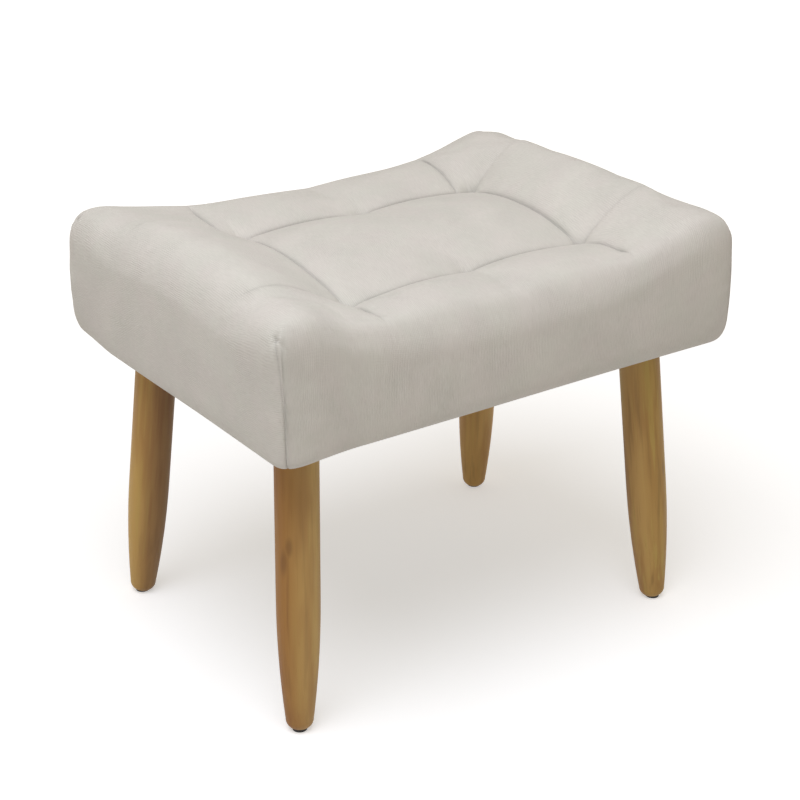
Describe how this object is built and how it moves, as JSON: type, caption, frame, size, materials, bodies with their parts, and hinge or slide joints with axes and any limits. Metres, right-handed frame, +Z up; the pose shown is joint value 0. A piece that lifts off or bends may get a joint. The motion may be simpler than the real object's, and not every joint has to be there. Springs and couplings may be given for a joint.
{
  "type": "pouf",
  "caption": "Rectangular tufted pouf with a saddle-shaped padded seat and splayed tapered wooden legs, for resting the feet or sitting",
  "frame": {"origin": "on the floor, under the middle of the seat", "axes": "+Z up, +X along the seat's long side, -Y towards the front long side"},
  "size_m": [0.554, 0.428, 0.4595],
  "materials": {
    "cover_fabric": "matte",
    "wadding": "matte",
    "foam": "matte",
    "frame_wood": "matte",
    "plywood": "matte",
    "leg_wood": "satin",
    "twine": "matte",
    "washer_plastic": "matte",
    "glide_plastic": "matte",
    "plate_steel": "satin",
    "screw_steel": "satin",
    "staple_steel": "satin",
    "dust_cover_fabric": "matte"
  },
  "bodies": {
    "root": {"seat_cover": "cover_fabric", "fibre_wrap": "wadding", "seat_foam": "foam", "front_side_foam": "foam", "back_side_foam": "foam", "left_side_foam": "foam", "right_side_foam": "foam", "rail_joint_screws": "screw_steel", "cross_rail_screws": "screw_steel", "corner_block_screws": "screw_steel", "deck_screws": "screw_steel", "leg_plate_screws": "screw_steel", "front_rail": "frame_wood", "back_rail": "frame_wood", "left_rail": "frame_wood", "right_rail": "frame_wood", "left_cross_rail": "frame_wood", "right_cross_rail": "frame_wood", "plywood_deck": "plywood", "tuft_tie_1": "twine", "tuft_tie_2": "twine", "tuft_tie_3": "twine", "tuft_tie_4": "twine", "tuft_tie_5": "twine", "tuft_tie_6": "twine", "tuft_washers": "washer_plastic", "front_left_leg": "leg_wood", "front_right_leg": "leg_wood", "back_left_leg": "leg_wood", "back_right_leg": "leg_wood", "front_left_leg_bolt": "plate_steel", "front_right_leg_bolt": "plate_steel", "back_left_leg_bolt": "plate_steel", "back_right_leg_bolt": "plate_steel", "front_left_glide": "glide_plastic", "front_right_glide": "glide_plastic", "back_left_glide": "glide_plastic", "back_right_glide": "glide_plastic", "front_left_leg_plate": "plate_steel", "front_right_leg_plate": "plate_steel", "back_left_leg_plate": "plate_steel", "back_right_leg_plate": "plate_steel", "front_left_corner_block": "frame_wood", "front_right_corner_block": "frame_wood", "back_left_corner_block": "frame_wood", "back_right_corner_block": "frame_wood", "dust_cover": "dust_cover_fabric", "cover_staples": "staple_steel", "dust_cover_staples": "staple_steel"}
  },
  "joints": []
}
